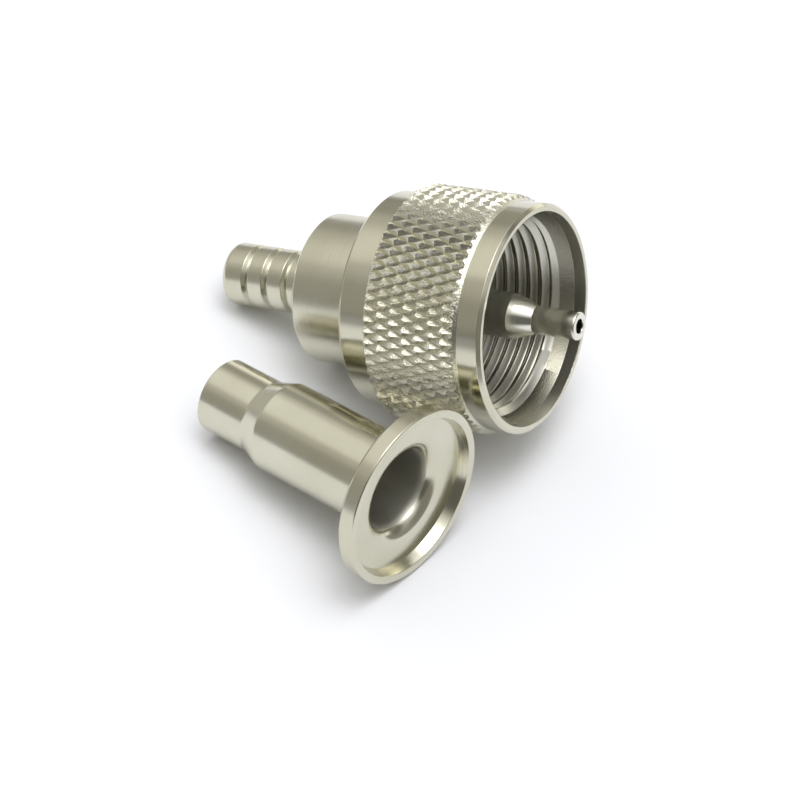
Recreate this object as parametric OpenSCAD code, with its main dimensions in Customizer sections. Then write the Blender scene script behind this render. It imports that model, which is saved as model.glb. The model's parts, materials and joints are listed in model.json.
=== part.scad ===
// Crimp type UHF coaxial plug with its loose crimp ferrule, as they lie on a table.
// Millimetres, +Z up. The plug leans back on its stem with its mouth up towards +X.
// Along an axis, positions are negative behind the mouth of the piece.

/* [Coupling nut] */
// Length of the nut from its rear face to its mouth
nut_length = 12.85; // [11.5:0.05:15]
// Height of the knurl peaks over the front band
knurl_rise = 0.4; // [0.3:0.05:0.8]
// Depth of the knurl
knurl_depth = 0.28; // [0.2:0.02:0.45]
// Length of the knurled band
knurl_length = 8; // [6:0.05:8.5]
// Number of knurl peaks around the nut
knurl_count = 66; // [48:1:72]
// Distance from ring to ring of the peaks
knurl_pitch = 1.12; // [0.9:0.02:1.4]
// Distance of the rearmost peaks from the rear end of the knurl
knurl_margin = 0.1; // [0.05:0.05:0.8]
// Length of the bevel at the front end of the knurl
knurl_bevel = 0.45; // [0.3:0.05:0.7]
// Distance of the knurl from the mouth
knurl_start = 2; // [1.6:0.05:2.6]
// Wall of the polished band in front of the knurl, round the plain mouth
front_wall = 0.6; // [0.4:0.05:1]
// Wall of the plain band behind the knurl, over the thread roots
rear_wall = 0.61; // [0.45:0.01:1]
// Chamfer at the rear edge of the nut
rear_chamfer = 0.35; // [0.2:0.05:0.5]
// Chamfer at the rim of the mouth
rim_chamfer = 0.24; // [0.1:0.02:0.3]

/* [Thread and mouth] */
// Step in radius from the thread roots out to the plain mouth
mouth_step = 0.46; // [0.35:0.01:0.6]
// Depth of the plain mouth
mouth_depth = 1; // [0.6:0.05:1.3]
// Length of the cone that leads into the thread
lead_in = 1.1; // [0.8:0.05:1.4]
// Depth of the thread from its crests to its roots, where the cone ends
thread_depth = 0.54; // [0.4:0.01:0.65]
// Bore over the thread crests
thread_minor_d = 14.8; // [14.7:0.02:15]
// Distance from turn to turn of the thread
thread_pitch = 1.058; // [0.9:0.002:1.2]
// Thickness of the inward web at the rear of the nut
web_t = 1.85; // [1.4:0.05:2.3]

/* [Plug body] */
// Thickness of the front collar
collar_t = 2; // [1.6:0.05:2.6]
// Depth of the contact ring in front of the insulator
ring_depth = 1.1; // [0.8:0.05:1.4]
// Bore of the contact ring
ring_bore = 11.8; // [11:0.1:12.2]
// Number of notches in the contact ring
notch_count = 4; // [2:1:6]
// Width of a notch
notch_w = 1.6; // [1:0.1:2]
// Depth of a notch
notch_depth = 0.7; // [0.4:0.05:0.8]
// Diameter of the hub
hub_d = 12; // [11.7:0.05:12.4]
// Length of hub that shows behind the nut
hub_show = 5.9; // [5:0.05:8]
// Chamfer at the rear edge of the hub
hub_chamfer = 0.25; // [0.1:0.05:0.5]
// Diameter of the seat for the insulator
seat_d = 10; // [9:0.1:10.4]
// Length of the seat for the insulator
seat_length = 5.4; // [4:0.1:7]

/* [Crimp stem] */
// Length of the stem behind the hub
stem_length = 8.95; // [7:0.05:12]
// Diameter of the stem over its barbs
stem_d = 5.1; // [4.8:0.05:5.6]
// Bore of the stem
stem_bore = 3.1; // [2.6:0.05:3.4]
// Rounding of the stem's rear end
stem_round = 0.35; // [0.1:0.05:0.5]
// Number of grooves between the barbs
barb_count = 4; // [2:1:4]
// Distance of the first groove from the rear end
barb_first = 2.25; // [1.2:0.05:2.4]
// Distance from groove to groove
barb_pitch = 1.9; // [1.2:0.05:1.9]
// Width of a groove
barb_w = 0.6; // [0.3:0.05:0.8]
// Depth of a groove
barb_depth = 0.3; // [0.1:0.05:0.4]

/* [Insulator and centre pin] */
// Diameter of the slim front of the pin
pin_d = 2.2; // [1.8:0.05:2.6]
// Distance that the pin stands out of the mouth of the nut
pin_reach = 3.8; // [2:0.05:6]
// Distance of the pin's step in front of the mouth of the nut
pin_step = 0.15; // [-1:0.05:1]
// Diameter of the thick base of the pin
pin_base_d = 3.6; // [2.8:0.05:4]
// Length of the cone from the base to the slim front
pin_cone = 2.8; // [2:0.05:4]
// Diameter of the pin's shank in the insulator
shank_d = 2.5; // [2.2:0.05:2.7]
// Bore of the pin for the cable's conductor
conductor_bore = 1.14; // [0.9:0.02:1.4]
// Rounding of the pin's tip
tip_round = 0.1; // [0.06:0.02:0.3]
// Thickness of the insulator's front lip
lip_t = 0.5; // [0.3:0.05:0.7]

/* [Crimp ferrule] */
// Length of the ferrule
ferrule_length = 19.55; // [17:0.05:24]
// Diameter of the flange
flange_d = 14.3; // [13.8:0.05:15]
// Thickness of the flange
flange_t = 1.47; // [1.2:0.01:1.8]
// Chamfer at the rear edge of the flange
flange_chamfer = 0.25; // [0.1:0.05:0.4]
// Width of the rim round the dish at the front of the flange
dish_rim = 0.65; // [0.4:0.05:0.8]
// Narrowing of the dish towards its floor
dish_taper = 0.28; // [0.1:0.02:0.4]
// Depth of the dish
dish_depth = 0.92; // [0.7:0.02:1]
// Outer diameter of the wide tube
wide_d = 7.32; // [7:0.02:7.8]
// Bore of the wide tube
wide_bore = 6.4; // [6.2:0.02:6.6]
// Outer diameter of the narrow tube
narrow_d = 6.05; // [5.8:0.02:6.4]
// Bore of the narrow tube
narrow_bore = 5.2; // [5:0.02:5.4]
// Length of the narrow tube
narrow_length = 4.55; // [3:0.05:7]
// Length of the cone between the tubes
taper_length = 1.7; // [1.2:0.05:2.4]
// Radius of the rounding from the dish into the bore
flare_r = 1.1; // [0.8:0.02:1.3]

/* [Fits] */
// Gap all round between the hub and the hole of the nut
turn_gap = 0.08; // [0.04:0.01:0.1]
// End gap between the collar and the web of the nut
end_gap = 0.05; // [0.04:0.01:0.1]
// Gap all round between the collar and the thread crests of the nut
collar_gap = 0.3; // [0.2:0.05:0.6]
// Gap all round between parts pressed or pushed together
seat_gap = 0.02; // [0.01:0.01:0.03]

/* [Layout] */
// Distance of the ferrule's rim from the plug's rim along X
ferrule_x = -0.73; // [-3:0.01:3]
// Distance between the sides of the flange and the knurl along Y
ferrule_away = 0.4; // [0:0.01:5]
// Heading of the ferrule, seen from above
ferrule_yaw = -12.25; // [-20:0.05:-8]

/* [Hidden] */
$fn = 96;
nickel = [0.62, 0.60, 0.52];
bright_nickel = [0.72, 0.70, 0.62];
dark_plastic = [0.16, 0.16, 0.15];
// Overrun of the cuts past the faces they open
over = 1;

// Positions along the plug's axis
knurl_front = -knurl_start;
knurl_rear = knurl_front - knurl_length;
web_front = web_t - nut_length;
shoulder = web_front + end_gap;
collar_front = shoulder + collar_t;
ring_floor = collar_front - ring_depth;
lip_rear = ring_floor - lip_t;
seat_floor = lip_rear - seat_length;
hub_rear = -nut_length - hub_show;
stem_rear = hub_rear - stem_length;
thread_start = -mouth_depth - lead_in;
cone_rear = pin_step - pin_cone;

// Diameters of the nut, from the thread crests out to the mouth, the bands and the knurl peaks
thread_major_d = thread_minor_d + 2 * thread_depth;
mouth_d = thread_major_d + 2 * mouth_step;
rear_band_d = thread_major_d + 2 * rear_wall;
front_band_d = mouth_d + 2 * front_wall;
knurl_d = front_band_d + 2 * knurl_rise;

// The dish and the ferrule's place
dish_d = flange_d - 2 * dish_rim;
ferrule_y = -knurl_d / 2 - flange_d / 2 - ferrule_away;

// The collar goes in through the thread bore of the nut
collar_d = thread_minor_d - 2 * collar_gap;

// Thread: one groove winds back from the cone to the web. It starts a little inside the crests.
thread_facets = 24;
thread_inset = 0.1;
thread_first = thread_start + thread_pitch / 4;
thread_steps = floor(thread_facets * ((thread_start - web_front) / thread_pitch - 1 / 4));
thread_root_w = thread_pitch / 8;
thread_groove_w = 0.82 * thread_pitch;
thread_profile = [
    [thread_root_w / 2, thread_major_d / 2],
    [-thread_root_w / 2, thread_major_d / 2],
    [-thread_groove_w / 2, thread_minor_d / 2 - thread_inset],
    [thread_groove_w / 2, thread_minor_d / 2 - thread_inset],
];

// Knurl: its valleys lie close to the turned core, which has the front band's diameter
valley_r = knurl_d / 2 - knurl_depth;
first_peak = knurl_rear + knurl_margin;
bevel_top = knurl_front - knurl_bevel;
knurl_rings = floor((bevel_top - first_peak) / knurl_pitch) + 1;
last_peak = first_peak + (knurl_rings - 1) * knurl_pitch;
peak_rows = [for (i = [0:knurl_rings - 1]) first_peak + i * knurl_pitch];
knurl_rows = concat([knurl_rear], peak_rows, [bevel_top, knurl_front]);
knurl_slots = 2 * knurl_count;

// Height between valley and peak that a line through the last peaks and valleys has where the bevel cuts it
bevel_rise = knurl_depth * (bevel_top - last_peak) / knurl_pitch;

// Resting angles: the plug lies on its nut and its stem, the ferrule on its flange and its tube
nut_corners = [
    [-nut_length + rear_chamfer, rear_band_d / 2],
    [-nut_length, rear_band_d / 2 - rear_chamfer],
    [first_peak, knurl_d / 2],
    [last_peak, knurl_d / 2],
    [-rim_chamfer, front_band_d / 2],
];
stem_corners = [[stem_rear + stem_round, stem_d / 2], [stem_rear, stem_d / 2 - stem_round]];
flange_corners = [
    [0, flange_d / 2],
    [-flange_t + flange_chamfer, flange_d / 2],
    [-flange_t, flange_d / 2 - flange_chamfer],
];
tube_corners = [[-ferrule_length, narrow_d / 2]];
plug_corners = concat(nut_corners, stem_corners);
ferrule_corners = concat(flange_corners, tube_corners);
plug_tilt = resting_angle(nut_corners, stem_corners);
ferrule_tilt = resting_angle(flange_corners, tube_corners);
plug_height = resting_height(plug_corners, plug_tilt);
ferrule_height = resting_height(ferrule_corners, ferrule_tilt);

// The floor's origin is below the middle of everything that lies on it
pin_corner = [pin_reach, pin_d / 2 - tip_round];
pin_side = [pin_reach - tip_round, pin_d / 2];
plug_ends = concat(plug_corners, [pin_corner, pin_side]);
x_low = min([for (p = plug_ends) p.x * cos(plug_tilt) - p.y * sin(plug_tilt)]);
x_high = max([for (p = plug_ends) p.x * cos(plug_tilt) + p.y * sin(plug_tilt)]);
ferrule_dir = [
    cos(ferrule_tilt) * cos(ferrule_yaw),
    cos(ferrule_tilt) * sin(ferrule_yaw),
    sin(ferrule_tilt),
];
y_spread = sqrt(1 - ferrule_dir.y * ferrule_dir.y);
y_low = min([for (p = ferrule_corners) ferrule_y + p.x * ferrule_dir.y - p.y * y_spread]);
y_high = knurl_d / 2;
middle = [(x_low + x_high) / 2, (y_low + y_high) / 2];

// Smallest lean at which a round piece rests on its front and its rear corners
function resting_angle(front, rear) =
    atan(min([for (r = rear) max([for (f = front) (f.y - r.y) / (f.x - r.x)])]));

// Height of a leaning axis, at its mouth, that brings the lowest corner to the floor
function resting_height(corners, tilt) =
    max([for (p = corners) p.y * cos(tilt) - p.x * sin(tilt)]);

// Quarter of a circle from angle a to angle b, as [axial, radius] points
function arc(axial, radius, r, a, b, steps = 5) =
    [for (i = [0:steps]) let (t = a + (b - a) * i / steps) [axial + r * cos(t), radius + r * sin(t)]];

// Turned solid along X from an outline of [axial, radius] points
module turned(outline) {
    rotate([0, 90, 0]) rotate_extrude() polygon([for (p = outline) [p.y, p.x]]);
}

// Places a piece of the plug where it lies
module in_plug() {
    translate([-middle.x, -middle.y, plug_height]) rotate([0, -plug_tilt, 0]) children();
}

// Places the ferrule where it lies
module in_ferrule() {
    translate([ferrule_x - middle.x, ferrule_y - middle.y, ferrule_height])
        rotate([0, 0, ferrule_yaw]) rotate([0, -ferrule_tilt, 0]) children();
}

// Knurl vertex: peaks and valleys alternate around a row, and each row is half a step on.
// Past the last peaks the valleys rise and the peaks fall, up to the bevel.
function knurl_r(row, slot) =
    row == 0 || row == knurl_rings + 2 ? valley_r
    : row == knurl_rings + 1 ? ((row + slot) % 2 == 0 ? knurl_d / 2 - bevel_rise : valley_r + bevel_rise)
    : (row + slot) % 2 == 0 ? valley_r : knurl_d / 2;

function knurl_point(row, slot) =
    let (t = 360 * slot / knurl_slots, r = knurl_r(row, slot))
    [knurl_rows[row], r * cos(t), r * sin(t)];

function knurl_index(row, slot) = row * knurl_slots + slot % knurl_slots;

// Two triangles between neighbouring rows, split along the valley
function knurl_cell(row, slot) =
    let (
        a = knurl_index(row, slot),
        b = knurl_index(row, slot + 1),
        c = knurl_index(row + 1, slot + 1),
        d = knurl_index(row + 1, slot)
    )
    (row + slot) % 2 == 0 ? [[a, c, b], [a, d, c]] : [[a, d, b], [b, d, c]];

module knurl_drum() {
    points = [for (row = [0:knurl_rings + 2], slot = [0:knurl_slots - 1]) knurl_point(row, slot)];
    cells = [for (row = [0:knurl_rings + 1], slot = [0:knurl_slots - 1]) each knurl_cell(row, slot)];
    rear = [for (slot = [0:knurl_slots - 1]) knurl_index(0, slot)];
    front = [for (slot = [knurl_slots - 1:-1:0]) knurl_index(knurl_rings + 2, slot)];
    polyhedron(points, concat(cells, [rear, front]));
}

// Corner of the thread groove's outline, that many facets back from its start
function thread_point(step, corner) =
    let (turns = step / thread_facets, r = corner.y)
    [thread_first - turns * thread_pitch + corner.x, r * cos(-360 * turns), r * sin(-360 * turns)];

// Two triangles of the groove between one step and the next
function thread_cell(step, side) =
    let (a = 4 * step + side, b = 4 * step + (side + 1) % 4)
    [[a, b, b + 4], [a, b + 4, a + 4]];

module thread_groove() {
    points = [for (step = [0:thread_steps], corner = thread_profile) thread_point(step, corner)];
    cells = [for (step = [0:thread_steps - 1], side = [0:3]) each thread_cell(step, side)];
    last = 4 * thread_steps;
    polyhedron(points, concat(cells, [[3, 2, 1, 0], [last, last + 1, last + 2, last + 3]]));
}

// Coupling nut: knurled outside, threaded inside, with a web that bears on the collar
module coupling_nut() {
    outside = [
        [-nut_length, 0],
        [-nut_length, rear_band_d / 2 - rear_chamfer],
        [-nut_length + rear_chamfer, rear_band_d / 2],
        [knurl_rear, rear_band_d / 2],
        [knurl_rear, front_band_d / 2],
        [-rim_chamfer, front_band_d / 2],
        [0, front_band_d / 2 - rim_chamfer],
        [0, 0],
    ];
    inside = [
        [-nut_length - over, 0],
        [-nut_length - over, hub_d / 2 + turn_gap],
        [web_front, hub_d / 2 + turn_gap],
        [web_front, thread_minor_d / 2],
        [thread_start - thread_depth, thread_minor_d / 2],
        [thread_start, thread_major_d / 2],
        [-mouth_depth, mouth_d / 2],
        [over, mouth_d / 2],
        [over, 0],
    ];
    color(nickel) in_plug() difference() {
        union() {
            turned(outside);
            knurl_drum();
        }
        turned(inside);
        thread_groove();
    }
}

// Body: collar with its contact ring, hub and barbed crimp stem, turned in one piece
module plug_body() {
    barb_at = [for (i = [0:barb_count - 1]) stem_rear + barb_first + i * barb_pitch];
    outside = concat(
        [[stem_rear, 0]],
        arc(stem_rear + stem_round, stem_d / 2 - stem_round, stem_round, 180, 90, 3),
        [for (x = barb_at) each [
            [x - barb_w / 2, stem_d / 2],
            [x, stem_d / 2 - barb_depth],
            [x + barb_w / 2, stem_d / 2],
        ]],
        [
            [hub_rear, stem_d / 2],
            [hub_rear, hub_d / 2 - hub_chamfer],
            [hub_rear + hub_chamfer, hub_d / 2],
            [shoulder, hub_d / 2],
            [shoulder, collar_d / 2],
            [collar_front, collar_d / 2],
            [collar_front, 0],
        ]
    );
    inside = [
        [stem_rear - over, 0],
        [stem_rear - over, stem_bore / 2],
        [seat_floor, stem_bore / 2],
        [seat_floor, seat_d / 2],
        [lip_rear, seat_d / 2],
        [lip_rear, ring_bore / 2],
        [collar_front + over, ring_bore / 2],
        [collar_front + over, 0],
    ];
    color(nickel) in_plug() difference() {
        turned(outside);
        turned(inside);
        for (i = [0:notch_count - 1]) rotate([360 * i / notch_count, 0, 0])
            translate([collar_front - notch_depth, -notch_w / 2, ring_bore / 2 - over])
                cube([notch_depth + over, notch_w, collar_d / 2]);
    }
}

// Insulator that holds the centre pin in the body
module insulator() {
    profile = [
        [seat_floor, shank_d / 2 + seat_gap],
        [seat_floor, seat_d / 2 - seat_gap],
        [lip_rear, seat_d / 2 - seat_gap],
        [lip_rear, ring_bore / 2 - seat_gap],
        [ring_floor, ring_bore / 2 - seat_gap],
        [ring_floor, shank_d / 2 + seat_gap],
    ];
    color(dark_plastic) in_plug() turned(profile);
}

// Hollow centre pin: shank, thick base, cone and slim front
module centre_pin() {
    outside = concat(
        [
            [seat_floor, conductor_bore / 2],
            [seat_floor, shank_d / 2],
            [ring_floor, shank_d / 2],
            [ring_floor, pin_base_d / 2],
            [cone_rear, pin_base_d / 2],
            [pin_step, pin_d / 2],
        ],
        arc(pin_reach - tip_round, pin_d / 2 - tip_round, tip_round, 90, 0, 3),
        [[pin_reach, conductor_bore / 2]]
    );
    color(bright_nickel) in_plug() turned(outside);
}

// Crimp ferrule: flange with a dish, wide tube, cone and narrow tube, in one piece
module crimp_ferrule() {
    narrow_front = -ferrule_length + narrow_length;
    taper_front = narrow_front + taper_length;
    dish_floor = -dish_depth;
    profile = concat(
        [
            [-ferrule_length, narrow_bore / 2],
            [-ferrule_length, narrow_d / 2],
            [narrow_front, narrow_d / 2],
            [taper_front, wide_d / 2],
            [-flange_t, wide_d / 2],
            [-flange_t, flange_d / 2 - flange_chamfer],
            [-flange_t + flange_chamfer, flange_d / 2],
            [0, flange_d / 2],
            [0, dish_d / 2],
            [dish_floor, dish_d / 2 - dish_taper / 2],
        ],
        arc(dish_floor - flare_r, wide_bore / 2 + flare_r, flare_r, 0, -90, 4),
        [
            [taper_front, wide_bore / 2],
            [narrow_front, narrow_bore / 2],
        ]
    );
    color(nickel) in_ferrule() turned(profile);
}

coupling_nut();
plug_body();
insulator();
centre_pin();
crimp_ferrule();
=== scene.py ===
import json
from collections import namedtuple
from math import atan2, cos, hypot, pi, radians, sin, tan

import bmesh
import bpy
from mathutils import Matrix, Vector, noise


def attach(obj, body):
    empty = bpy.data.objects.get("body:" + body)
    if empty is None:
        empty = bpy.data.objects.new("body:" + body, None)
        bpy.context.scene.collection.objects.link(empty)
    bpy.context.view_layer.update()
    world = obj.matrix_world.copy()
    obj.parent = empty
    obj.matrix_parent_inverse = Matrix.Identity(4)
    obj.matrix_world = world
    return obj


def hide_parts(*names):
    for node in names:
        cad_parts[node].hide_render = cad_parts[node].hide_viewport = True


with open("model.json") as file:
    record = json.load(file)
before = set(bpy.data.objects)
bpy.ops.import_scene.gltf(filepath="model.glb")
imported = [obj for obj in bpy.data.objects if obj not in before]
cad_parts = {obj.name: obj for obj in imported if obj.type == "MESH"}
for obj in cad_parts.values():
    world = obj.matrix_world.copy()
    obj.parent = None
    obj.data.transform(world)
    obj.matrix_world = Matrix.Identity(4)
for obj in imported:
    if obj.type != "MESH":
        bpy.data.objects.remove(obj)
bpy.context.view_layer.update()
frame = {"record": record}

MM = 0.001

# Distances in millimetres below which points are welded and thin faces removed
WELD = 0.0008
SLIVER = 0.0005

# Coupling nut, in millimetres: radii, and places along the axis, negative behind the mouth
NUT_LENGTH = 12.85
FRONT_BAND_R = 9.0
REAR_BAND_R = 8.55
REAR_CHAMFER = 0.35
RIM_CHAMFER = 0.24
MOUTH_R = 8.4
MOUTH_DEPTH = 1.0
WEB_FRONT = -11.0
WEB_HOLE_R = 6.08

# Thread of the nut: the groove's bottom is at THREAD_FIRST where the angle is 0
THREAD_START = -2.1
THREAD_FIRST = -1.8355
THREAD_PITCH = 1.058
THREAD_MAJOR_R = 7.94
THREAD_MINOR_R = 7.4
THREAD_END = -10.6
THREAD_RUNOUT = 0.3

# Offset from the groove's bottom in turns, and depth, from crest to crest
THREAD_PROFILE = [
    (-0.44, 0.0),
    (-0.39, 0.05),
    (-0.09, 0.96),
    (-0.06, 1.0),
    (0.06, 1.0),
    (0.09, 0.96),
    (0.39, 0.05),
    (0.44, 0.0),
]

# Knurl of the nut, and the bevel that ends it in front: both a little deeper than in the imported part
KNURL_REAR = -10.0
KNURL_FIRST = -9.9
KNURL_STEP = 1.12
KNURL_PEAKS = 66
KNURL_R = 9.4
KNURL_DEPTH = 0.32
KNURL_REAR_ROW = 0.05
KNURL_REAR_STEP = 0.2
KNURL_REAR_SLOPE = 2
BEVEL_TOP = -2.72
BEVEL_FOOT = -1.98
BEVEL_SUPPORT = 0.03

# Wear of the knurl's peaks: its size in millimetres, and the scales of its pattern round and along the nut
WEAR = 0.05
WEAR_ROUND = 17
WEAR_ALONG = 1.9

# Cells of the knurl's grid
KNURL_CUTS = 8
KNURL_ROW = 2 * KNURL_STEP / KNURL_CUTS
KNURL_ROWS = 26
NUT_COLUMNS = KNURL_PEAKS * KNURL_CUTS
BEVEL_ROWS = 10

# Plug body
SHOULDER = -10.95
COLLAR_FRONT = -8.95
COLLAR_R = 7.1
RING_R = 5.9
RING_FLOOR = -10.05
LIP_REAR = -10.55
SEAT_R = 5.0
SEAT_FLOOR = -15.95
NOTCHES = 4
NOTCH_HALF_W = 0.8
NOTCH_FLOOR = -9.65
NOTCH_WALL = 0.001
NOTCH_CUTS = 12
LAND_CUTS = 52
HUB_R = 6.0
HUB_REAR = -18.75
HUB_CHAMFER = 0.25
STEM_R = 2.55
STEM_REAR = -27.7
STEM_BORE_R = 1.55
BARBS = [-25.45, -23.55, -21.65, -19.75]
BARB_HALF_W = 0.3
BARB_DEPTH = 0.3

# Centre pin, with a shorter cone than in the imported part
PIN_R = 1.1
PIN_TIP = 3.8
PIN_BASE_R = 1.8
PIN_CONE_REAR = -1.75
PIN_CONE_FRONT = 0.15
SHANK_R = 1.25
CONDUCTOR_R = 0.57
PRESS_GAP = 0.02

# Crimp ferrule, from its rim back. DISH_LIFT is the slope of the dish's floor at its wall, in degrees
FERRULE_LENGTH = 19.55
FLANGE_R = 7.15
FLANGE_T = 1.47
FLANGE_CHAMFER = 0.25
DISH_R = 6.5
DISH_FLOOR_R = 6.2
DISH_DEPTH = 0.9
DISH_FLAT_R = 4.95
DISH_LIFT = 6
DISH_CUTS = 8
FLARE_R = 1.4
FLARE_CUTS = 10
WIDE_R = 3.66
WIDE_BORE_R = 3.2
NARROW_R = 3.025
NARROW_BORE_R = 2.6
NARROW_FRONT = -15.0
TAPER_FRONT = -13.3
FERRULE_RIM_AHEAD = 7.66

# Segments round the ferrule, and round the pin and the insulator
LARGE_ROUND = 256
SMALL_ROUND = 128

# Rounded corners: how far out the support points lie, and the most that a rounding takes of a side
HOLD = 0.04
HOLD_SHARE = 0.4
REACH_SHARE = 0.45

# Camera, from a fit to the photograph: places and near limit in metres, lens and sensor in millimetres
CAMERA_AT = (0.0539, -0.13548, 0.16074)
CAMERA_TARGET = (0.00169, 0.00727, -0.00296)
CAMERA_ROLL = 11.521
CAMERA_LENS = 122.38
CAMERA_SENSOR = 36
CAMERA_NEAR = 0.005


# Outlines of (x, r) points

def arc_points(corner, before, after, radius, steps):
    """Points of a rounding at a corner of an outline, with a support point on either side."""
    p, a, b = (Vector(v) for v in (corner, before, after))
    da = (a - p).normalized()
    db = (b - p).normalized()
    half = da.angle(db) / 2
    reach = min(radius / tan(half), (a - p).length * REACH_SHARE, (b - p).length * REACH_SHARE)
    radius = reach * tan(half)
    centre = p + (da + db).normalized() * (radius / sin(half))
    start = p + da * reach
    end = p + db * reach
    first = atan2(*(start - centre).yx)
    turn = (atan2(*(end - centre).yx) - first + pi) % (2 * pi) - pi
    angles = [first + turn * i / steps for i in range(steps + 1)]
    rim = [centre + radius * Vector((cos(a), sin(a))) for a in angles]
    hold = min(HOLD, reach * HOLD_SHARE)
    return [tuple(v) for v in [start + da * hold] + rim + [end + db * hold]]


def rounded(outline, steps=3):
    """Closed outline of (x, r, rounding) corners as a list of plain (x, r) points."""
    points = []
    for i, (x, r, rounding) in enumerate(outline):
        before = outline[i - 1][:2]
        after = outline[(i + 1) % len(outline)][:2]
        points += arc_points((x, r), before, after, rounding, steps) if rounding else [(x, r)]
    return points


def spread(points, longest):
    """The same closed outline with its long sides cut into shorter ones."""
    out = []
    for i, (x, r) in enumerate(points):
        next_x, next_r = points[(i + 1) % len(points)]
        cuts = max(1, round(hypot(x - next_x, r - next_r) / longest))
        out += [(x + (next_x - x) * k / cuts, r + (next_r - r) * k / cuts) for k in range(cuts)]
    return out


# Meshes

def points_on(columns, angles):
    """Points of one outline per angle, in metres, with the axis along X."""
    return [(x * MM, r * cos(t) * MM, r * sin(t) * MM) for c, t in zip(columns, angles) for x, r in c]


def finish_mesh(name, verts, faces, matrix, sharp):
    """Object from points and faces: welded, placed, facing outwards, smooth up to the sharp angle."""
    mesh = bpy.data.meshes.new(name)
    mesh.from_pydata(verts, [], faces)
    work = bmesh.new()
    work.from_mesh(mesh)
    bmesh.ops.remove_doubles(work, verts=work.verts, dist=WELD * MM)
    bmesh.ops.dissolve_degenerate(work, edges=work.edges, dist=SLIVER * MM)
    bmesh.ops.recalc_face_normals(work, faces=work.faces)
    work.to_mesh(mesh)
    work.free()
    mesh.transform(matrix)
    mesh.shade_smooth()
    mesh.set_sharp_from_angle(angle=radians(sharp))
    piece = bpy.data.objects.new(name, mesh)
    bpy.context.scene.collection.objects.link(piece)
    return piece


def ring_mesh(name, columns, angles, matrix, sharp=35):
    """Closed mesh from one outline per angle."""
    count = len(columns[0])
    faces = []
    for j in range(len(angles)):
        here = j * count
        there = (j + 1) % len(angles) * count
        for i in range(count):
            k = (i + 1) % count
            faces.append((here + i, here + k, there + k, there + i))
    return finish_mesh(name, points_on(columns, angles), faces, matrix, sharp)


def turned(name, outline, matrix, segments, longest=0.8):
    """Turned piece from a closed outline of (x, r, rounding)."""
    points = spread(rounded(outline), longest)
    angles = [2 * pi * j / segments for j in range(segments)]
    return ring_mesh(name, [points] * segments, angles, matrix)


# Frames of the plug and the ferrule, taken from the part's mounts

def mount(name):
    """Mount of the part's record with this name."""
    return next(m for m in frame["record"]["mounts"] if m["name"] == name)


def axis_frame(origin, axis):
    """Matrix with X along the axis and Y level."""
    x = Vector(axis).normalized()
    y = Vector((0, 0, 1)).cross(x).normalized()
    turn = Matrix((x, y, x.cross(y))).transposed().to_4x4()
    return Matrix.Translation(origin) @ turn


thread_mount = mount("coupling_thread")
bore_mount = mount("ferrule_wide_bore")
plug_at = axis_frame(Vector(thread_mount["pos_m"]), thread_mount["axis"])
ferrule_axis = Vector(bore_mount["axis"]).normalized()
ferrule_rim = Vector(bore_mount["pos_m"]) + ferrule_axis * FERRULE_RIM_AHEAD * MM
ferrule_at = axis_frame(ferrule_rim, ferrule_axis)


# Coupling nut: knurl outside, true thread turns inside

def knurl_radius(x, t):
    """Radius of the knurled band: crossed grooves with worn peaks, cut off by the bevel in front."""
    u = KNURL_PEAKS * t / (2 * pi)
    v = (x - KNURL_FIRST) / (2 * KNURL_STEP)
    a = abs((u + v + 0.5) % 1 - 0.5)
    b = abs((u - v + 0.5) % 1 - 0.5)
    height = min(1.0, (1 - 2 * max(a, b)) / (1 - 2 / KNURL_CUTS))
    rough = noise.noise(Vector((WEAR_ROUND * cos(t), WEAR_ROUND * sin(t), WEAR_ALONG * x)))
    r = KNURL_R - KNURL_DEPTH * (1 - height) + WEAR * rough * height
    bevel = FRONT_BAND_R + (BEVEL_FOOT - x) * (KNURL_R - FRONT_BAND_R) / (BEVEL_FOOT - BEVEL_TOP)
    rear = KNURL_R - KNURL_REAR_STEP + (x - KNURL_REAR) * KNURL_REAR_SLOPE
    return max(FRONT_BAND_R, min(r, bevel, rear, KNURL_R))


def knurl_places():
    """Places of the rows over the knurl, closer together in the bevel."""
    rows = [KNURL_REAR, KNURL_REAR + KNURL_REAR_ROW]
    rows += [KNURL_FIRST + k * KNURL_ROW for k in range(KNURL_ROWS + 1)]
    last = rows[-1]
    return rows + [last + (BEVEL_FOOT - last) * k / BEVEL_ROWS for k in range(1, BEVEL_ROWS)]


def thread_column(t):
    """Thread points at one angle, from the mouth to the web, with a spare turn at each end."""
    turns = int((THREAD_FIRST - WEB_FRONT) / THREAD_PITCH) + 3
    out = []
    for n in range(turns):
        for offset, depth in THREAD_PROFILE:
            x = THREAD_FIRST + THREAD_PITCH * (t / (2 * pi) - n - offset)
            x = min(THREAD_START, max(WEB_FRONT, x))
            fade = max(0.0, min(1.0, (x - THREAD_END) / THREAD_RUNOUT))
            cut = depth * fade * (THREAD_MAJOR_R - THREAD_MINOR_R)
            wall = max(0.0, THREAD_MAJOR_R - THREAD_MINOR_R + x - THREAD_START)
            out.append((x, THREAD_MINOR_R + max(cut, wall)))
    return out


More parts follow.
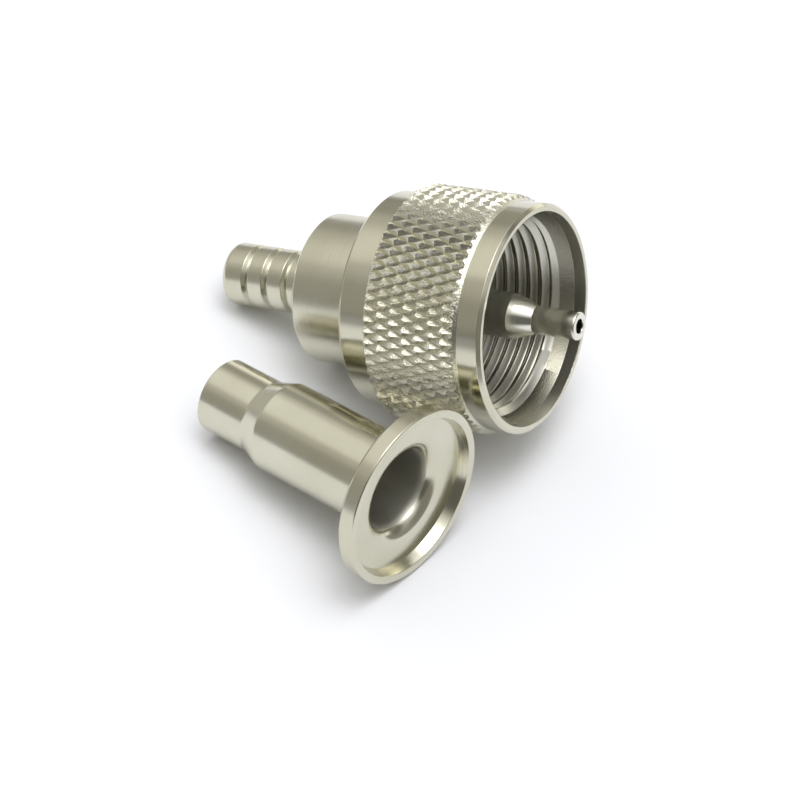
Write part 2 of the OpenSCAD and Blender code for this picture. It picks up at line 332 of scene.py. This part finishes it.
def nut_column(t):
    """Outline of the nut at one angle, and the rows at which its knurl and its thread begin."""
    # The last corner only gives the outline its closing side, and comes back after the thread
    rear = rounded([
        (WEB_FRONT, WEB_HOLE_R, 0.08),
        (-NUT_LENGTH, WEB_HOLE_R, 0.08),
        (-NUT_LENGTH, REAR_BAND_R - REAR_CHAMFER, 0.06),
        (-NUT_LENGTH + REAR_CHAMFER, REAR_BAND_R, 0.06),
        (KNURL_REAR, REAR_BAND_R, 0.03),
        (KNURL_REAR, FRONT_BAND_R, 0),
        (WEB_FRONT, THREAD_MINOR_R, 0),
    ])[:-1]
    knurl = [(x, knurl_radius(x, t)) for x in knurl_places()]
    front = rounded([
        (BEVEL_FOOT, FRONT_BAND_R, 0),
        (BEVEL_FOOT + BEVEL_SUPPORT, FRONT_BAND_R, 0),
        (-RIM_CHAMFER, FRONT_BAND_R, 0.05),
        (0, FRONT_BAND_R - RIM_CHAMFER, 0.05),
        (0, MOUTH_R, 0.05),
        (-MOUTH_DEPTH, MOUTH_R, 0.04),
        (THREAD_START, THREAD_MAJOR_R, 0),
    ])
    column = rear + knurl + front + thread_column(t) + [(WEB_FRONT, THREAD_MINOR_R)]
    return column, len(rear), len(rear) + len(knurl) + len(front)


def knurl_split(column, row):
    """Whether a cell is cut along its rising diagonal, so that the cuts follow valleys and peaks."""
    rising = (column - row) % KNURL_CUTS
    falling = (column + row + 1) % KNURL_CUTS
    valley = KNURL_CUTS // 2
    return rising == valley or rising in (1, KNURL_CUTS - 1) and falling != valley


def nut_mesh():
    """Grid over the nut. Where the angles close, a thread row meets the same row one turn on."""
    angles = [2 * pi * j / NUT_COLUMNS for j in range(NUT_COLUMNS)]
    made = [nut_column(t) for t in angles]
    columns = [m[0] for m in made]
    knurl_at, thread_at = made[0][1:]
    count = len(columns[0])
    turn = len(THREAD_PROFILE)
    first_row = knurl_at + 2
    last_row = first_row + KNURL_ROWS
    faces = []
    for j in range(NUT_COLUMNS):
        closing = j == NUT_COLUMNS - 1
        here = j * count
        there = 0 if closing else here + count
        for i in range(count):
            k = (i + 1) % count
            a, b, c, d = here + i, here + k, k, i
            if closing and thread_at <= k < count:
                c = max(thread_at - 1, k - turn) if k < count - 1 else k
                d = max(thread_at - 1, i - turn)
            c += there
            d += there
            if not first_row <= i < last_row:
                faces.append((a, b, c, d))
            elif knurl_split(j, i - first_row):
                faces += [(a, b, c), (a, c, d)]
            else:
                faces += [(a, b, d), (b, c, d)]
    return finish_mesh("nut_shell", points_on(columns, angles), faces, plug_at, 30)


nut = nut_mesh()


# Plug body, insulator and centre pin

def body_column(notched):
    """Outline of the body, with the ring's front lower in a notch."""
    front = NOTCH_FLOOR if notched else COLLAR_FRONT
    stem = [
        (STEM_REAR, STEM_BORE_R, 0.1),
        (STEM_REAR, STEM_R, 0.42),
    ]
    for x in BARBS:
        stem += [
            (x - BARB_HALF_W, STEM_R, 0.06),
            (x, STEM_R - BARB_DEPTH, 0.03),
            (x + BARB_HALF_W, STEM_R, 0.06),
        ]
    rest = [
        (HUB_REAR, STEM_R, 0.08),
        (HUB_REAR, HUB_R - HUB_CHAMFER, 0.1),
        (HUB_REAR + HUB_CHAMFER, HUB_R, 0.1),
        (SHOULDER, HUB_R, 0.05),
        (SHOULDER, COLLAR_R, 0.08),
        (front, COLLAR_R, 0.1),
        (front, RING_R, 0.05),
        (LIP_REAR, RING_R, 0),
        (LIP_REAR, SEAT_R, 0),
        (SEAT_FLOOR, SEAT_R, 0),
        (SEAT_FLOOR, STEM_BORE_R, 0),
    ]
    return spread(rounded(stem + rest), 2.5)


def body_mesh():
    """Body with the notches of its contact ring, and lands between them."""
    half = NOTCH_HALF_W / RING_R
    share = 2 * pi / NOTCHES
    land = share - 2 * half - 2 * NOTCH_WALL
    plain = body_column(False)
    notched = body_column(True)
    angles = []
    columns = []
    for n in range(NOTCHES):
        angles += [n * share - half + 2 * half * k / NOTCH_CUTS for k in range(NOTCH_CUTS + 1)]
        columns += [notched] * (NOTCH_CUTS + 1)
        angles += [n * share + half + NOTCH_WALL + land * k / LAND_CUTS for k in range(LAND_CUTS + 1)]
        columns += [plain] * (LAND_CUTS + 1)
    return ring_mesh("plug_body_turned", columns, angles, plug_at)


body = body_mesh()

insulator = turned("insulator_disc", [
    (SEAT_FLOOR, SHANK_R + PRESS_GAP, 0),
    (SEAT_FLOOR, SEAT_R - PRESS_GAP, 0),
    (LIP_REAR, SEAT_R - PRESS_GAP, 0),
    (LIP_REAR, RING_R - PRESS_GAP, 0),
    (RING_FLOOR, RING_R - PRESS_GAP, 0.12),
    (RING_FLOOR, SHANK_R + PRESS_GAP, 0),
], plug_at, SMALL_ROUND)

pin = turned("centre_pin_turned", [
    (SEAT_FLOOR, CONDUCTOR_R, 0),
    (SEAT_FLOOR, SHANK_R, 0.05),
    (RING_FLOOR, SHANK_R, 0),
    (RING_FLOOR, PIN_BASE_R, 0.05),
    (PIN_CONE_REAR, PIN_BASE_R, 0.2),
    (PIN_CONE_FRONT, PIN_R, 0.2),
    (PIN_TIP, PIN_R, 0.12),
    (PIN_TIP, CONDUCTOR_R, 0.07),
], plug_at, SMALL_ROUND)


# Crimp ferrule

def dish_points():
    """Floor of the dish, which rises towards the wall like a bowl."""
    bend = (DISH_FLOOR_R - DISH_FLAT_R) / sin(radians(DISH_LIFT))
    angles = [radians(DISH_LIFT * (1 - k / DISH_CUTS)) for k in range(DISH_CUTS)]
    return [(-DISH_DEPTH + bend * (1 - cos(a)), DISH_FLAT_R + bend * sin(a), 0) for a in angles]


def flare_points():
    """Rounding from the dish into the bore."""
    x = -DISH_DEPTH - FLARE_R
    r = WIDE_BORE_R + FLARE_R
    angles = [radians(-90 * k / FLARE_CUTS) for k in range(FLARE_CUTS + 1)]
    return [(x + FLARE_R * cos(a), r + FLARE_R * sin(a), 0) for a in angles]


ferrule = turned("crimp_ferrule_turned", [
    (-FERRULE_LENGTH, NARROW_BORE_R, 0.06),
    (-FERRULE_LENGTH, NARROW_R, 0.08),
    (NARROW_FRONT, NARROW_R, 0.6),
    (TAPER_FRONT, WIDE_R, 0.5),
    (-FLANGE_T, WIDE_R, 0.12),
    (-FLANGE_T, FLANGE_R - FLANGE_CHAMFER, 0.08),
    (-FLANGE_T + FLANGE_CHAMFER, FLANGE_R, 0.1),
    (0, FLANGE_R, 0.09),
    (0, DISH_R, 0.07),
] + dish_points() + flare_points() + [
    (TAPER_FRONT, WIDE_BORE_R, 0.3),
    (NARROW_FRONT, NARROW_BORE_R, 0.3),
], ferrule_at, LARGE_ROUND)


# Node helpers

def node_tree(name):
    """New material with its node tree and its output node."""
    material = bpy.data.materials.new(name)
    material.use_nodes = True
    tree = material.node_tree
    tree.nodes.clear()
    return material, tree, tree.nodes.new("ShaderNodeOutputMaterial")


def add(tree, kind, **values):
    """New node with its sockets or its settings given by name."""
    node = tree.nodes.new(kind)
    for key, value in values.items():
        if key in node.inputs:
            node.inputs[key].default_value = value
        else:
            setattr(node, key, value)
    return node


def calc(tree, operation, *terms):
    """Result of a Math node over sockets and plain numbers."""
    node = add(tree, "ShaderNodeMath", operation=operation)
    for socket, term in zip(node.inputs, terms):
        if isinstance(term, (int, float)):
            socket.default_value = term
        else:
            tree.links.new(term, socket)
    return node.outputs[0]


def smooth_step(tree, source, zero_at, one_at):
    """Soft change from 0 to 1 between two values of the source."""
    node = add(tree, "ShaderNodeMapRange", interpolation_type="SMOOTHSTEP")
    node.inputs["From Min"].default_value = zero_at
    node.inputs["From Max"].default_value = one_at
    tree.links.new(source, node.inputs["Value"])
    return node.outputs["Result"]


def blend_to(tree, value, goal, mask):
    """Value moved towards the goal where the mask is 1."""
    return calc(tree, "MULTIPLY_ADD", calc(tree, "SUBTRACT", goal, value), mask, value)


def place_on(tree, at):
    """Coordinates of the frame at, so X runs along the axis of the plug or the ferrule."""
    place = add(tree, "ShaderNodeTexCoord")
    back = add(tree, "ShaderNodeMapping", vector_type="TEXTURE")
    back.inputs["Location"].default_value = at.to_translation()
    back.inputs["Rotation"].default_value = at.to_euler()
    tree.links.new(place.outputs["Object"], back.inputs["Vector"])
    return back.outputs["Vector"]


def stretched_noise(tree, place, scale, detail, stretch):
    """Noise over a piece's own coordinates, with the scale along each of them multiplied by the stretch."""
    size = add(tree, "ShaderNodeMapping", Scale=stretch)
    pattern = add(tree, "ShaderNodeTexNoise", Scale=scale, Detail=detail)
    tree.links.new(place, size.inputs["Vector"])
    tree.links.new(size.outputs["Vector"], pattern.inputs["Vector"])
    return pattern.outputs["Fac"]


def ramp(tree, source, stops):
    """Colour for a value, from stops of place and colour."""
    node = add(tree, "ShaderNodeValToRGB")
    elements = node.color_ramp.elements
    while len(elements) < len(stops):
        elements.new(0.5)
    for element, (at, colour) in zip(elements, stops):
        element.position = at
        element.color = (*colour, 1)
    tree.links.new(source, node.inputs["Fac"])
    return node.outputs["Color"]


def zone_mask(tree, place, inner, outer, rear, front):
    """1 between two radii and two places along the piece's axis, in millimetres, with soft edges."""
    flat = add(tree, "ShaderNodeVectorMath", operation="MULTIPLY")
    flat.inputs[1].default_value = (0, 1, 1)
    reach = add(tree, "ShaderNodeVectorMath", operation="LENGTH")
    parts = add(tree, "ShaderNodeSeparateXYZ")
    tree.links.new(place, flat.inputs[0])
    tree.links.new(flat.outputs[0], reach.inputs[0])
    tree.links.new(place, parts.inputs[0])
    radius = reach.outputs["Value"]
    along = parts.outputs["X"]
    mask = 1.0
    edges = [
        (radius, inner, ZONE_SOFT),
        (radius, outer, -ZONE_SOFT),
        (along, rear, ZONE_SOFT),
        (along, front, -ZONE_SOFT),
    ]
    for source, edge, soft in edges:
        step = smooth_step(tree, source, (edge - soft) * MM, (edge + soft) * MM)
        mask = calc(tree, "MULTIPLY", step, mask)
    return mask


# Materials

# Nickel: warm and pale patches, bores, rough cone behind the mouth darkened as painted shade for its
# recess, knurl and pin
WARM = (0.60, 0.58, 0.46)
PALE = (0.64, 0.625, 0.515)
INSIDE = (0.58, 0.57, 0.505)
# Painted shade: the lead-in cone behind the mouth is coloured dark for the shade inside the nut
CONE_PAINTED_SHADE = (0.25, 0.24, 0.195)
BRIGHT = (0.70, 0.685, 0.57)
PIN = (0.76, 0.75, 0.67)

# Noise scales, per metre, and stretches: even, and drawn out round the axis for turning marks
PATCH_SCALE = 190.0
TURNING_SCALE = 1000.0
GRAIN_SCALE = 9000.0
MOTTLE_SCALE = 700.0
EVEN = (1, 1, 1)
TURNING_STRETCH = (7, 0.25, 0.25)

# Depths of the bumps in metres
MARK_DEPTH = 0.00002
GRAIN_DEPTH = 0.00006
MOTTLE_DEPTH = 0.00003

PLASTIC_DARK = (0.018, 0.018, 0.017)
PLASTIC_LIGHT = (0.03, 0.03, 0.028)
PLASTIC_ROUGH = 0.55
PLASTIC_BUMP = 0.3

# Part of a piece with a finish of its own. Its place is as for zone_mask
Zone = namedtuple("Zone", "place rough grain colour")

# Half width of a zone's soft edges in millimetres
ZONE_SOFT = 0.05


def mixed_colour(tree, colour, other, mask):
    """Colour from a socket, and the other, plain colour where the mask is 1."""
    node = add(tree, "ShaderNodeMix", data_type="RGBA")
    factor, first, second = (node.inputs[k] for k in (0, 6, 7))
    second.default_value = (*other, 1)
    tree.links.new(mask, factor)
    tree.links.new(colour, first)
    return node.outputs[2]


def nickel(name, at, rough, marks, grain, zones=()):
    """Nickel plate on a piece with the frame at: patches, turning marks and fine grain, and the zones."""
    material, tree, out = node_tree(name)
    shader = add(tree, "ShaderNodeBsdfPrincipled", Metallic=1.0)
    place = place_on(tree, at)
    patches = stretched_noise(tree, place, PATCH_SCALE, 3.0, EVEN)
    tint = ramp(tree, patches, [(0.35, WARM), (0.65, PALE)])
    turning = stretched_noise(tree, place, TURNING_SCALE, 2.0, TURNING_STRETCH)
    gloss = calc(tree, "MULTIPLY_ADD", turning, rough[1] - rough[0], rough[0])
    fine = grain
    for zone in zones:
        within = zone_mask(tree, place, *zone.place)
        gloss = blend_to(tree, gloss, zone.rough, within)
        fine = blend_to(tree, fine, zone.grain, within)
        tint = mixed_colour(tree, tint, zone.colour, within)
    tree.links.new(tint, shader.inputs["Base Color"])
    tree.links.new(gloss, shader.inputs["Roughness"])
    first = add(tree, "ShaderNodeBump", Strength=marks, Distance=MARK_DEPTH)
    second = add(tree, "ShaderNodeBump", Strength=grain, Distance=GRAIN_DEPTH)
    if zones:
        tree.links.new(fine, second.inputs["Strength"])
    tree.links.new(turning, first.inputs["Height"])
    tree.links.new(stretched_noise(tree, place, GRAIN_SCALE, 2.0, EVEN), second.inputs["Height"])
    tree.links.new(first.outputs["Normal"], second.inputs["Normal"])
    tree.links.new(second.outputs["Normal"], shader.inputs["Normal"])
    tree.links.new(shader.outputs["BSDF"], out.inputs["Surface"])
    return material


def plastic(name):
    """Dark moulded insulator with a faint mottle."""
    material, tree, out = node_tree(name)
    shader = add(tree, "ShaderNodeBsdfPrincipled", Roughness=PLASTIC_ROUGH)
    mottle = stretched_noise(tree, place_on(tree, plug_at), MOTTLE_SCALE, 4.0, EVEN)
    tint = ramp(tree, mottle, [(0.3, PLASTIC_DARK), (0.7, PLASTIC_LIGHT)])
    tree.links.new(tint, shader.inputs["Base Color"])
    bump = add(tree, "ShaderNodeBump", Strength=PLASTIC_BUMP, Distance=MOTTLE_DEPTH)
    tree.links.new(mottle, bump.inputs["Height"])
    tree.links.new(bump.outputs["Normal"], shader.inputs["Normal"])
    tree.links.new(shader.outputs["BSDF"], out.inputs["Surface"])
    return material


# Places of the zones: inner and outer radius, rear and front
KNURL_ZONE = (FRONT_BAND_R - 0.1, KNURL_R + 0.1, KNURL_REAR, BEVEL_FOOT)
BORE_ZONE = (0, THREAD_MAJOR_R + 0.02, WEB_FRONT, THREAD_START)
CONE_ZONE = (0, MOUTH_R + 0.05, THREAD_START, -MOUTH_DEPTH)
WALL_ZONE = (MOUTH_R - 0.05, MOUTH_R + 0.05, -MOUTH_DEPTH, 0)
PIN_ZONE = (0, PIN_BASE_R + 0.1, SEAT_FLOOR - 0.1, PIN_TIP + 0.1)
FERRULE_BORE_ZONE = (0, WIDE_BORE_R + 0.15, TAPER_FRONT, 0)

nut_plate = nickel("nut_nickel", plug_at, rough=(0.08, 0.20), marks=0.10, grain=0.03, zones=[
    Zone(KNURL_ZONE, rough=0.19, grain=0.6, colour=BRIGHT),
    Zone(BORE_ZONE, rough=0.26, grain=0.08, colour=INSIDE),
    # Painted shade: dark colour on the cone behind the mouth, standing in for the shade in the recess
    Zone(CONE_ZONE, rough=0.22, grain=0.5, colour=CONE_PAINTED_SHADE),
    Zone(WALL_ZONE, rough=0.30, grain=0.1, colour=INSIDE),
])
body_plate = nickel("body_nickel", plug_at, rough=(0.18, 0.30), marks=0.2, grain=0.035)
pin_plate = nickel("pin_nickel", plug_at, rough=(0.10, 0.18), marks=0.08, grain=0.02, zones=[
    Zone(PIN_ZONE, rough=0.16, grain=0.02, colour=PIN),
])
ferrule_plate = nickel("ferrule_nickel", ferrule_at, rough=(0.12, 0.24), marks=0.12, grain=0.025, zones=[
    Zone(FERRULE_BORE_ZONE, rough=0.5, grain=0.03, colour=INSIDE),
])

# Piece, the body that it rides on, the CAD node that it replaces, its slot and its material
dress = [
    (nut, "nut", "coupling_nut", "nut_plate", nut_plate),
    (body, "plug", "plug_body", "body_plate", body_plate),
    (insulator, "plug", "insulator", "insulator_plastic", plastic("insulator_black")),
    (pin, "plug", "centre_pin", "pin_plate", pin_plate),
    (ferrule, "plug", "crimp_ferrule", "ferrule_plate", ferrule_plate),
]
for piece, rides_on, node, slot, material in dress:
    piece.data.materials.append(material)
    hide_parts(node)
    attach(piece, rides_on)


# Floor: a white oval under the object and in the camera's view, with painted shade making it grey further
# out, as if the light fell off; sizes in metres

FLOOR_R = 1.6
FLOOR_SIDES = 24
FLOOR_WHITE = 0.95
# Painted shade: the floor's grey level far from the object, standing in for light falling off
FLOOR_FAR_PAINTED_SHADE = 0.40
FLOOR_TINT = (0.985, 0.995, 1.04)
OVAL_AT = (0, -0.16, 0)
OVAL_SCALE = (2.6, 1, 1)
OVAL_INNER = 0.209
OVAL_OUTER = 0.29


def floor_colour(tree):
    """White oval under the object, and painted shade beyond it that turns the floor grey as if the light
    fell off.
    """
    place = add(tree, "ShaderNodeTexCoord")
    oval = add(tree, "ShaderNodeMapping", Location=OVAL_AT, Scale=OVAL_SCALE)
    reach = add(tree, "ShaderNodeVectorMath", operation="LENGTH")
    tree.links.new(place.outputs["Object"], oval.inputs["Vector"])
    tree.links.new(oval.outputs["Vector"], reach.inputs[0])
    # Painted shade: outside the oval the floor's colour drops to grey, standing in for light falling off
    # with distance
    painted_falloff = smooth_step(tree, reach.outputs["Value"], OVAL_INNER, OVAL_OUTER)
    level = blend_to(tree, FLOOR_WHITE, FLOOR_FAR_PAINTED_SHADE, painted_falloff)
    colour = add(tree, "ShaderNodeVectorMath", operation="SCALE")
    colour.inputs[0].default_value = FLOOR_TINT
    tree.links.new(level, colour.inputs["Scale"])
    return colour.outputs[0]


def floor_piece():
    """Flat disc on which the object lies."""
    material, tree, out = node_tree("floor_white")
    shader = add(tree, "ShaderNodeBsdfDiffuse")
    tree.links.new(floor_colour(tree), shader.inputs["Color"])
    tree.links.new(shader.outputs["BSDF"], out.inputs["Surface"])
    angles = [2 * pi * k / FLOOR_SIDES for k in range(FLOOR_SIDES)]
    verts = [(0, 0, 0)] + [(FLOOR_R * cos(a), FLOOR_R * sin(a), 0) for a in angles]
    faces = [(0, 1 + k, 1 + (k + 1) % FLOOR_SIDES) for k in range(FLOOR_SIDES)]
    mesh = bpy.data.meshes.new("floor")
    mesh.from_pydata(verts, [], faces)
    mesh.materials.append(material)
    floor = bpy.data.objects.new("floor", mesh)
    bpy.context.scene.collection.objects.link(floor)


floor_piece()


# World: a bright ceiling over grey walls, with softer and darker parts painted in between

# Sine of the height above the horizon, and brightness there
CEILING = [
    (0.0, 0.30),
    (0.42, 0.40),
    (0.70, 0.52),
    (0.80, 0.78),
    (0.90, 1.4),
    (0.95, 2.4),
    (0.98, 4.6),
    (1.0, 7.0),
]
CEILING_TOP = CEILING[-1][1]
TINT = [(0.55, (1.0, 0.975, 0.89)), (0.85, (1, 1, 1))]

# Azimuth from +X towards +Y, half width, lower and upper edge in degrees, brightness, softness
PANELS = {
    "left_wall": (180, 44, -10, 54, 0.60, 7),
    "left_window": (170, 30, 34, 58, 1.0, 6),
    "behind_camera": (-85, 36, -10, 47, 0.15, 8),
    "front_right": (-20, 30, -10, 44, 0.29, 8),
    "right_window": (15, 26, 43, 60, 0.65, 6),
    "back_low": (122, 14, 5, 30, 0.42, 6),
    "back_window": (122, 16, 34, 58, 0.85, 6),
    "back_corner": (50, 16, 15, 50, 0.22, 5),
    "back_lamp": (84, 17, 48, 64, 1.5, 4),
    "horizon": (88, 30, -15, 15, 1.4, 6),
    "front_left": (-137, 14, -10, 28, 0.42, 6),
}


def world_light():
    """World of plain brightness by height, with the panels painted over it in turn."""
    world = bpy.data.worlds.new("studio")
    bpy.context.scene.world = world
    world.use_nodes = True
    tree = world.node_tree
    tree.nodes.clear()
    out = add(tree, "ShaderNodeOutputWorld")
    back = add(tree, "ShaderNodeBackground")
    place = add(tree, "ShaderNodeTexCoord")
    parts = add(tree, "ShaderNodeSeparateXYZ")
    tree.links.new(place.outputs["Generated"], parts.inputs[0])
    height = parts.outputs["Z"]
    flat = add(tree, "ShaderNodeCombineXYZ")
    tree.links.new(parts.outputs["X"], flat.inputs["X"])
    tree.links.new(parts.outputs["Y"], flat.inputs["Y"])
    level = add(tree, "ShaderNodeVectorMath", operation="NORMALIZE")
    tree.links.new(flat.outputs[0], level.inputs[0])
    ceiling = ramp(tree, height, [(at, (v / CEILING_TOP,) * 3) for at, v in CEILING])
    light = calc(tree, "MULTIPLY", ceiling, CEILING_TOP)
    tree.links.new(ramp(tree, height, TINT), back.inputs["Color"])
    for azimuth, half, low, high, glow, soft in PANELS.values():
        mask = panel_mask(tree, level.outputs[0], height, azimuth, half, low, high, soft)
        light = blend_to(tree, light, glow, mask)
    tree.links.new(light, back.inputs["Strength"])
    tree.links.new(back.outputs["Background"], out.inputs["Surface"])


def panel_mask(tree, level, height, azimuth, half, low, high, soft):
    """1 inside a panel of the world, with soft edges."""
    along = add(tree, "ShaderNodeVectorMath", operation="DOT_PRODUCT")
    along.inputs[1].default_value = (cos(radians(azimuth)), sin(radians(azimuth)), 0)
    tree.links.new(level, along.inputs[0])
    facing = along.outputs["Value"]
    sides = smooth_step(tree, facing, cos(radians(half + soft)), cos(radians(half - soft)))
    above = smooth_step(tree, height, sin(radians(low - soft)), sin(radians(low + soft)))
    below = smooth_step(tree, height, sin(radians(high + soft)), sin(radians(high - soft)))
    return calc(tree, "MULTIPLY", sides, calc(tree, "MULTIPLY", above, below))


world_light()


# Camera

def camera_piece():
    """Camera at the photograph's viewing angle."""
    data = bpy.data.cameras.new("camera")
    data.sensor_width = CAMERA_SENSOR
    data.lens = CAMERA_LENS
    data.clip_start = CAMERA_NEAR
    camera = bpy.data.objects.new("camera", data)
    look = Vector(CAMERA_TARGET) - Vector(CAMERA_AT)
    turn = look.to_track_quat("-Z", "Y").to_matrix() @ Matrix.Rotation(radians(CAMERA_ROLL), 3, "Z")
    camera.matrix_world = Matrix.Translation(CAMERA_AT) @ turn.to_4x4()
    bpy.context.scene.collection.objects.link(camera)
    bpy.context.scene.camera = camera


camera_piece()

bpy.context.scene.view_settings.view_transform = "Standard"

bpy.context.view_layer.update()
